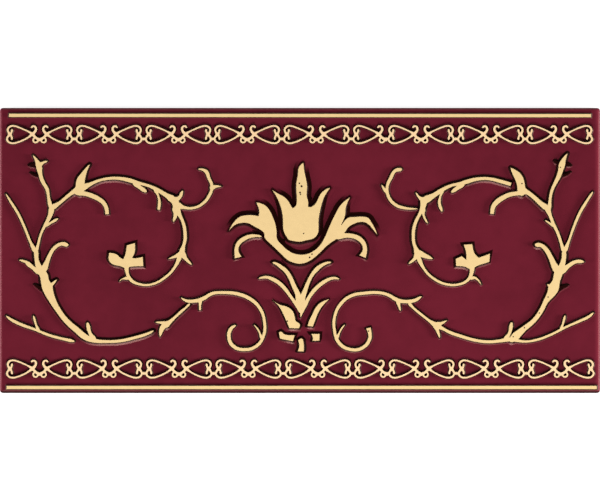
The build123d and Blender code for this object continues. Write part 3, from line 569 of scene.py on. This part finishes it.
def add_raised(name, outlines, spread, height, steps):
    """A filled curve with a moulded wall: flat on top, spreading to its foot."""
    bpy.ops.curve.primitive_bezier_circle_add(radius=spread)
    piece = bpy.context.object
    piece.name = name
    curve = piece.data
    curve.dimensions = "2D"
    curve.fill_mode = "BOTH"
    curve.resolution_u = steps
    for index, knots in enumerate(outlines):
        shape_spline(curve.splines[0] if index == 0 else curve.splines.new("BEZIER"), knots)
    curve.offset = -TRIM
    curve.bevel_mode = "PROFILE"
    curve.bevel_depth = spread
    curve.bevel_resolution = WALL_STEPS
    curve.extrude = BURIED * spread / height
    for x, y in WALL_PROFILE:
        curve.bevel_profile.points.add(x, y)
    curve.bevel_profile.update()
    piece.scale.z = height / spread
    return piece


def made_solid(pieces, middle_height):
    """Turns curves into closed meshes and lifts them to their height."""
    bpy.ops.object.select_all(action="DESELECT")
    for piece in pieces:
        piece.location.z = middle_height
        piece.select_set(True)
    bpy.context.view_layer.objects.active = pieces[0]
    bpy.ops.object.convert(target="MESH")
    bpy.ops.object.transform_apply(location=True, rotation=True, scale=True)
    bpy.ops.object.mode_set(mode="EDIT")
    bpy.ops.mesh.select_all(action="SELECT")
    bpy.ops.mesh.remove_doubles(threshold=MERGE_DISTANCE)
    bpy.ops.mesh.normals_make_consistent(inside=False)
    bpy.ops.object.mode_set(mode="OBJECT")


def combine(piece, others, operation):
    """Joins other closed meshes to a piece, or cuts them from it, and removes them."""
    group = bpy.data.collections.new("operands")
    bpy.context.scene.collection.children.link(group)
    for other in others:
        group.objects.link(other)
    faces_before = len(piece.data.polygons)
    modifier = piece.modifiers.new("combine", "BOOLEAN")
    modifier.operation = operation
    modifier.operand_type = "COLLECTION"
    modifier.collection = group
    modifier.solver = "MANIFOLD"
    apply_modifier(piece, modifier)
    if len(piece.data.polygons) == faces_before:
        raise RuntimeError(f"nothing was combined with {piece.name}")
    for other in others:
        bpy.data.objects.remove(other)
    bpy.data.collections.remove(group)


class TILE_OT_body(bpy.types.Operator):
    """Adds the pressed body with its eased edges and its keyed back."""

    bl_idname = "tile.body"
    bl_label = "Body"

    def execute(self, context):
        size = context.scene.tile_body
        bpy.ops.object.select_all(action="DESELECT")
        bpy.ops.mesh.primitive_cube_add(size=1.0, location=(0.0, 0.0, size.thickness / 2))
        body = context.object
        body.name = "glazed_tile"
        body.scale = (LENGTH, WIDTH, size.thickness)
        bpy.ops.object.transform_apply(location=True, rotation=True, scale=True)
        self.round_edges(body, size.corner_radius, 4, lambda a, b: abs(a.z - b.z) > size.thickness / 2)
        self.round_edges(body, size.edge_radius, 6, lambda a, b: min(a.z, b.z) > size.thickness * 0.9)
        self.round_edges(body, size.back_chamfer, 1, lambda a, b: max(a.z, b.z) < size.thickness * 0.1)
        self.divide_face(body)
        combine(body, [self.key_cells()], "DIFFERENCE")
        return {"FINISHED"}

    def round_edges(self, body, width, segments, wanted):
        """Bevels the edges that wanted picks by their two ends."""
        places = [vertex.co for vertex in body.data.vertices]
        weights = body.data.attributes.new("bevel_weight_edge", "FLOAT", "EDGE")
        for line, weight in zip(body.data.edges, weights.data):
            weight.value = float(wanted(*(places[i] for i in line.vertices)))
        modifier = body.modifiers.new("rounding", "BEVEL")
        modifier.limit_method = "WEIGHT"
        modifier.width = width
        modifier.segments = segments
        modifier.use_clamp_overlap = False
        apply_modifier(body, modifier)
        body.data.attributes.remove(body.data.attributes["bevel_weight_edge"])

    def divide_face(self, body):
        """Cuts the body into square fields, so that no face has to wrap round the whole ornament."""
        only(body)
        bpy.ops.object.mode_set(mode="EDIT")
        for axis, reach in ((0, LENGTH), (1, WIDTH)):
            fields = round(reach / FIELD)
            for cut in range(1, fields):
                place = [0.0, 0.0, 0.0]
                place[axis] = (cut / fields - 0.5) * reach
                normal = [float(i == axis) for i in range(3)]
                bpy.ops.mesh.select_all(action="SELECT")
                bpy.ops.mesh.bisect(plane_co=place, plane_no=normal)
        bpy.ops.object.mode_set(mode="OBJECT")

    def key_cells(self):
        """One tapered cell of the keying grid, arrayed over the back."""
        bpy.ops.object.select_all(action="DESELECT")
        bpy.ops.mesh.primitive_cube_add(size=1.0)
        cell = bpy.context.object
        start = [-(count - 1) / 2 * pitch for count, pitch in zip((KEY_COLUMNS, KEY_ROWS), KEY_PITCH)]
        cell.scale = (KEY_PITCH[0] - KEY_RIB, KEY_PITCH[1] - KEY_RIB, 2 * KEY_DEPTH)
        cell.location = (*start, 0.0)
        bpy.ops.object.transform_apply(location=True, rotation=True, scale=True)
        bpy.ops.object.mode_set(mode="EDIT")
        bpy.ops.mesh.select_all(action="DESELECT")
        bpy.ops.object.mode_set(mode="OBJECT")
        for face in cell.data.polygons:
            face.select = face.normal.z > 0.5
        bpy.ops.object.mode_set(mode="EDIT")
        bpy.ops.mesh.select_mode(type="FACE")
        bpy.ops.transform.resize(
            value=(KEY_FLOOR_SCALE, KEY_FLOOR_SCALE, 1.0), center_override=(*start, KEY_DEPTH))
        bpy.ops.object.mode_set(mode="OBJECT")
        for count, offset in ((KEY_COLUMNS, (KEY_PITCH[0], 0, 0)), (KEY_ROWS, (0, KEY_PITCH[1], 0))):
            modifier = cell.modifiers.new("row", "ARRAY")
            modifier.count = count
            modifier.use_relative_offset = False
            modifier.use_constant_offset = True
            modifier.constant_offset_displace = offset
            apply_modifier(cell, modifier)
        return cell


class TILE_OT_ornament(bpy.types.Operator):
    """Raises the vine, the tulip and the straight fillets from the face."""

    bl_idname = "tile.ornament"
    bl_label = "Ornament"

    def execute(self, context):
        size, relief = context.scene.tile_body, context.scene.tile_relief
        height = RELIEF_TOP - size.thickness
        bpy.ops.object.select_all(action="DESELECT")
        gilded = [add_raised("flower", [outline], relief.broad_spread, height, STROKE_STEPS)
                  for outline in (TULIP_EDGE, CUP_EDGE)]
        gilded += [add_raised("leaf", [outline], relief.leaf_spread, height, STROKE_STEPS)
                   for outline in LEAF_EDGES]
        for stroke in STROKES:
            slim = max(width for x, y, width in stroke[0]) <= SLIM_WIDTH
            spread = relief.spread if slim else relief.leaf_spread
            gilded.append(add_raised("stroke", [stroke_outline(stroke)], spread, height, STROKE_STEPS))
        for line in (TOP_FILLET, BOTTOM_FILLET):
            stroke = block(*((x, y, FILLET_WIDTH) for x, y in line))
            gilded.append(add_raised("fillet", [stroke_outline(stroke)], relief.fine_spread, height, 1))
        bare = [add_raised("leaf", [stroke_outline(stroke)], relief.spread, height - BARE_DROP,
                           STROKE_STEPS) for stroke in BARE_LEAVES]
        made_solid(gilded + bare, size.thickness - BURIED)
        combine(bpy.data.objects["glazed_tile"], gilded + bare, "UNION")
        return {"FINISHED"}


class TILE_OT_chains(bpy.types.Operator):
    """Raises the two chains of facing scrolls."""

    bl_idname = "tile.chains"
    bl_label = "Chains"

    def execute(self, context):
        size, relief = context.scene.tile_body, context.scene.tile_relief
        height = RELIEF_TOP - size.thickness
        left = self.scroll(-1, relief.fine_spread, height, size.thickness)
        right = self.scroll(1, relief.fine_spread, height, size.thickness)
        link = add_raised("link", [stroke_outline(stem(*LINK))], relief.fine_spread, height, CHAIN_STEPS)
        made_solid([link], size.thickness - BURIED)
        scrolls = []
        for row, middles, single in CHAINS:
            for middle in middles:
                scrolls += [self.placed(left, middle, row), self.placed(right, middle, row)]
            scrolls.append(self.placed(left, single, row))
            scrolls += [self.placed(link, middle, row) for middle in (*middles[1:], single)]
        for pattern in (left, right, link):
            bpy.data.objects.remove(pattern)
        combine(bpy.data.objects["glazed_tile"], scrolls, "UNION")
        return {"FINISHED"}

    def scroll(self, side, spread, height, thickness):
        """One scroll, on the left or the right of its pair's middle."""
        parts = []
        bpy.ops.object.select_all(action="DESELECT")
        for strand in (HOOKED_STRAND, RINGED_STRAND):
            points = [(side * distance, y, width) for distance, y, width in strand]
            outline = stroke_outline(stem(*points))
            parts.append(add_raised("strand", [outline], spread, height, CHAIN_STEPS))
        centre = (side * RING_CENTRE[0], RING_CENTRE[1])
        ring = [circle_outline(centre, RING_RADIUS), circle_outline(centre, EYE_RADIUS)]
        parts.append(add_raised("ring", ring, EYE_SPREAD * MM, height, CHAIN_STEPS))
        made_solid(parts, thickness - BURIED)
        combine(parts[0], parts[1:], "UNION")
        return parts[0]

    def placed(self, scroll, x, y):
        """A copy of a scroll, moved to its place in a row."""
        copy = scroll.copy()
        copy.data = scroll.data.copy()
        bpy.context.scene.collection.objects.link(copy)
        copy.location = (x * MM, y * MM, 0.0)
        only(copy)
        bpy.ops.object.transform_apply(location=True, rotation=True, scale=True)
        return copy


class Value:
    """A shader socket that takes part in Python arithmetic."""

    def __init__(self, tree, socket):
        self.tree = tree
        self.socket = socket

    def math(self, operation, *others):
        """A Math node of this value and others."""
        return self.tree.add("ShaderNodeMath", {"operation": operation}, self, *others)

    def __add__(self, other):
        return self.math("ADD", other)

    def __sub__(self, other):
        return self.math("SUBTRACT", other)

    def __mul__(self, other):
        return self.math("MULTIPLY", other)

    def __truediv__(self, other):
        return self.math("DIVIDE", other)

    def __rsub__(self, other):
        return self.tree.add("ShaderNodeMath", {"operation": "SUBTRACT"}, other, self)

    __radd__ = __add__

    def max(self, other):
        """The larger of two values."""
        return self.math("MAXIMUM", other)

    def between(self, low, high):
        """0 at low, 1 at high, eased in between."""
        settings = {"interpolation_type": "SMOOTHSTEP"}
        return self.tree.add("ShaderNodeMapRange", settings, self, low, high, 0.0, 1.0)


class Tree:
    """A material's node tree, written as expressions."""

    def __init__(self, name):
        self.material = bpy.data.materials.new(name)
        self.material.use_nodes = True
        self.nodes = self.material.node_tree.nodes
        self.links = self.material.node_tree.links
        self.shader = self.nodes["Principled BSDF"]

    def add(self, kind, settings, *inputs, output=0, **named):
        """Adds a node, sets it, then gives its inputs values or links, and returns an output."""
        node = self.nodes.new(kind)
        for key, value in settings.items():
            setattr(node, key, value)
        for key, value in [*enumerate(inputs), *named.items()]:
            self.feed(node.inputs[key], value)
        return Value(self, node.outputs[output])

    def feed(self, socket, value):
        """Links a value to a socket, or sets a number or colour on it."""
        if isinstance(value, Value):
            self.links.new(value.socket, socket)
        else:
            socket.default_value = value

    def mixed(self, factor, first, second):
        """A colour between two others."""
        node = self.nodes.new("ShaderNodeMix")
        node.data_type = "RGBA"
        for index, value in ((0, factor), (6, first), (7, second)):
            self.feed(node.inputs[index], value)
        return Value(self, node.outputs[2])

    def noise(self, place, scale, detail, roughness):
        """Noise between 0 and 1 over places in metres."""
        named = {"Vector": place, "Scale": scale, "Detail": detail, "Roughness": roughness}
        return self.add("ShaderNodeTexNoise", {}, **named)

    def bump(self, height, distance, **named):
        """A normal from a height, whose unit is distance in metres."""
        return self.add("ShaderNodeBump", {}, Strength=1.0, Distance=distance, Height=height, **named)

    def distance(self, place, x, y, z):
        """How far a place is from a point of the face, given by x and y in millimetres."""
        point = (x * MM, y * MM, z)
        return self.add("ShaderNodeVectorMath", {"operation": "DISTANCE"}, place, point, output="Value")


def tint(colour, factor=1.0):
    """A colour with its alpha, darker or lighter by a factor."""
    return (*(channel * factor for channel in colour), 1.0)


def tile_finish(finish, ground, top):
    """Glossy maroon glaze, dark where it pools and where shade is painted on the walls and the front edge,
    a painted highlight on the two short ends, gilded tops and bare clay below.
    """
    tree = Tree("glaze")
    place = tree.add("ShaderNodeTexCoord", {}, output="Object")
    facing = tree.add("ShaderNodeTexCoord", {}, output="Normal")
    split = tree.add("ShaderNodeSeparateXYZ", {}, place).socket.node
    x, y, z = (Value(tree, socket) for socket in split.outputs)
    turned = tree.add("ShaderNodeSeparateXYZ", {}, facing).socket.node
    across, up = Value(tree, turned.outputs[1]), Value(tree, turned.outputs[2])
    slope = (1.0 - up * up).math("SQRT")

    # Gilding lies on the tops, thinned at the rims by wear
    wear = tree.noise(place, 900.0, 4.0, 0.6)
    rim = z + (wear - 0.5) * (0.04 * MM)
    gilded = rim.between(top - 0.07 * MM, top - 0.02 * MM)
    for pit_x, pit_y, radius in PITS:
        spot = tree.distance(place, pit_x, pit_y, top)
        gilded = gilded * spot.between(0.8 * radius * MM, 1.5 * radius * MM)

    # Painted shade darkens the walls along with the glaze that pools there: from their foot on, or from
    # higher up on the lower, lit side of a form, and fading out near the tips
    lower_side = (0.0 - across / slope).between(0.1, 0.6)
    pool_and_shade = (z - lower_side * (0.1 * MM)).between(ground + 0.002 * MM, ground + 0.035 * MM)
    steep = z.between(ground + 0.1 * MM, ground + 0.25 * MM)
    for tip_x, tip_y in TIPS:
        spot = tree.distance(place, tip_x, tip_y, ground)
        pool_and_shade = pool_and_shade * spot.between(1.4 * MM, 4.6 * MM).max(steep)

    # Painted shade also darkens the face's lit front edge, and a painted pale highlight lightens the
    # face's two ends
    face_edge = z.between(ground - 1.8 * MM, ground - 0.6 * MM)
    front_edge = (0.0 - y).between(WIDTH / 2 - 1.1 * MM, WIDTH / 2 - 0.4 * MM) * face_edge
    pool_and_shade = pool_and_shade.max(front_edge * 0.85)
    right_end = x.between(LENGTH / 2 - 2.2 * MM, LENGTH / 2 + 0.2 * MM) * 0.42
    left_end = (0.0 - x).between(LENGTH / 2 - 1.1 * MM, LENGTH / 2) * 0.6
    mottle = tree.noise(place, 160.0, 3.0, 0.55)
    cloud = tree.noise(place, 26.0, 2.0, 0.5)
    glaze = tree.mixed((mottle * 0.5 + cloud * 0.5).between(0.3, 0.7),
                       tint(finish.glaze, 0.9), tint(finish.glaze, 1.1))
    # Mix in the painted highlight of the ends, then the painted shade and pooled glaze
    glaze = tree.mixed(right_end.max(left_end) * face_edge, glaze, tint(finish.end_highlight))
    glaze = tree.mixed(pool_and_shade, glaze, tint(finish.pool_and_shade))

    # The gilding has a fine grain, and is paler on the chains
    grain = tree.noise(place, 420.0, 3.0, 0.6)
    gold = tree.mixed(grain.between(0.25, 0.75), tint(finish.gold, 0.95), tint(finish.gold))
    off_middle = y.math("ABSOLUTE")
    chains = off_middle.between(*PALE_FROM) * (1.0 - off_middle.between(*PALE_TO))
    gold = tree.mixed(chains, gold, tint(finish.pale_gold))
    colour = tree.mixed(gilded, glaze, gold)

    # The back and the foot of the sides are bare clay, up to an uneven line of glaze
    dip = z + (tree.noise(place, 90.0, 2.0, 0.5) - 0.5) * CLAY_WAVER
    glazed = dip.between(CLAY_HEIGHT - 0.1 * MM, CLAY_HEIGHT + 0.1 * MM)
    speckle = tree.noise(place, 1400.0, 2.0, 0.6)
    clay = tree.mixed(speckle.between(0.35, 0.7), tint(finish.clay, 0.82), tint(finish.clay))
    colour = tree.mixed(glazed, clay, colour)

    # The glaze is softly wavy, the clay has pores and the gilding a grain
    waves = tree.bump(tree.noise(place, 240.0, 2.0, 0.5), 0.03 * MM)
    pores = tree.noise(place, 1100.0, 3.0, 0.6) * (1.0 - glazed)
    normal = tree.bump(pores + grain * gilded * 0.3, 0.05 * MM, Normal=waves)

    wavy = slope.between(0.15, 0.35) * 0.2
    roughness = glazed * (0.2 + wavy + gilded * 0.25 + front_edge * 0.4) + (1.0 - glazed) * 0.85
    tree.feed(tree.shader.inputs["Specular IOR Level"], 0.3)
    tree.feed(tree.shader.inputs["Specular Tint"], (1.0, 0.6, 0.5, 1.0))
    tree.feed(tree.shader.inputs["Base Color"], colour)
    tree.feed(tree.shader.inputs["Roughness"], roughness)
    tree.feed(tree.shader.inputs["Metallic"], gilded * glazed * 0.25)
    tree.feed(tree.shader.inputs["Normal"], normal)
    return tree.material


class TILE_OT_finish(bpy.types.Operator):
    """Smooths the tile and gives it its glaze, gilding and clay."""

    bl_idname = "tile.finish"
    bl_label = "Finish"

    def execute(self, context):
        tile = bpy.data.objects["glazed_tile"]
        only(tile)
        bpy.ops.object.shade_smooth_by_angle(angle=math.radians(SMOOTH_ANGLE))
        for face in tile.data.polygons:
            face.use_smooth = abs(face.normal.z) < FLAT_NORMAL
        tile.data.materials.clear()
        tile.data.materials.append(
            tile_finish(context.scene.tile_finish, context.scene.tile_body.thickness, RELIEF_TOP))
        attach(tile, "root")
        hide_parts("tile")
        return {"FINISHED"}


class TILE_OT_stage(bpy.types.Operator):
    """Adds the white floor, the lights and the camera over the tile."""

    bl_idname = "tile.stage"
    bl_label = "Stage"

    def execute(self, context):
        stage = context.scene.tile_stage
        bpy.ops.object.select_all(action="DESELECT")
        bpy.ops.mesh.primitive_plane_add(size=FLOOR_SIZE)
        floor = context.object
        floor.name = "floor"
        paint = Tree("floor_white")
        paint.feed(paint.shader.inputs["Base Color"], (0.5, 0.5, 0.5, 1.0))
        paint.feed(paint.shader.inputs["Roughness"], 1.0)
        seen = paint.add("ShaderNodeLightPath", {}, output="Is Camera Ray")
        paint.feed(paint.shader.inputs["Emission Color"], seen)
        paint.feed(paint.shader.inputs["Emission Strength"], 0.85)
        floor.data.materials.append(paint.material)
        floor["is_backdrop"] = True

        world = bpy.data.worlds.new("studio")
        world.use_nodes = True
        background = world.node_tree.nodes["Background"]
        background.inputs["Color"].default_value = (1.0, 1.0, 1.0, 1.0)
        background.inputs["Strength"].default_value = 0.05
        context.scene.world = world
        for name, azimuth, elevation, share in LAMPS:
            self.add_light(name, azimuth, elevation, stage.key_power * share)
        self.add_camera(stage.distance)
        context.scene.view_settings.view_transform = "Standard"
        return {"FINISHED"}

    def add_light(self, name, azimuth, elevation, power):
        """Adds a square lamp that looks at the tile from an azimuth, 0 being in front."""
        turn, lift = math.radians(azimuth), math.radians(elevation)
        level = math.cos(lift)
        away = Vector((-math.sin(turn) * level, -math.cos(turn) * level, math.sin(lift)))
        bpy.ops.object.light_add(type="AREA", location=away * LAMP_DISTANCE)
        lamp = bpy.context.object
        lamp.name = name
        lamp.data.size = LAMP_SIZE
        lamp.data.energy = power
        lamp.rotation_euler = away.to_track_quat("Z", "Y").to_euler()

    def add_camera(self, distance):
        """Adds a long-lens camera straight above, framed on the tile's length."""
        bpy.ops.object.camera_add(location=(0.0, CAMERA_Y, RELIEF_TOP + distance))
        camera = bpy.context.object
        camera.name = "photo_camera"
        camera.data.sensor_width = SENSOR_WIDTH
        camera.data.lens = SENSOR_WIDTH * (distance + FRAMED_DEPTH) / (LENGTH - FRAMED_CROP)
        camera.data.clip_start = 0.05
        bpy.context.scene.camera = camera


class TILE_PT_panel(bpy.types.Panel):
    """Lists the settings and the steps that build the tile."""

    bl_idname = "TILE_PT_panel"
    bl_label = "Border tile"
    bl_space_type = "VIEW_3D"
    bl_region_type = "UI"
    bl_category = "Border tile"

    def draw(self, context):
        for group in ("tile_body", "tile_relief", "tile_finish", "tile_stage"):
            settings = getattr(context.scene, group)
            for name in settings.__annotations__:
                self.layout.prop(settings, name)
        for step in STEPS:
            self.layout.operator(step.bl_idname)


GROUPS = {
    "tile_body": BodySettings,
    "tile_relief": ReliefSettings,
    "tile_finish": FinishSettings,
    "tile_stage": StageSettings,
}
STEPS = (TILE_OT_body, TILE_OT_ornament, TILE_OT_chains, TILE_OT_finish, TILE_OT_stage)


def register():
    for group in GROUPS.values():
        bpy.utils.register_class(group)
    for step in (*STEPS, TILE_PT_panel):
        bpy.utils.register_class(step)
    for name, group in GROUPS.items():
        setattr(bpy.types.Scene, name, PointerProperty(type=group))


def unregister():
    for name in GROUPS:
        delattr(bpy.types.Scene, name)
    for step in (*STEPS, TILE_PT_panel):
        bpy.utils.unregister_class(step)
    for group in GROUPS.values():
        bpy.utils.unregister_class(group)


def main():
    register()
    bpy.ops.tile.body()
    bpy.ops.tile.ornament()
    bpy.ops.tile.chains()
    bpy.ops.tile.finish()
    bpy.ops.tile.stage()


if __name__ == "__main__":
    main()
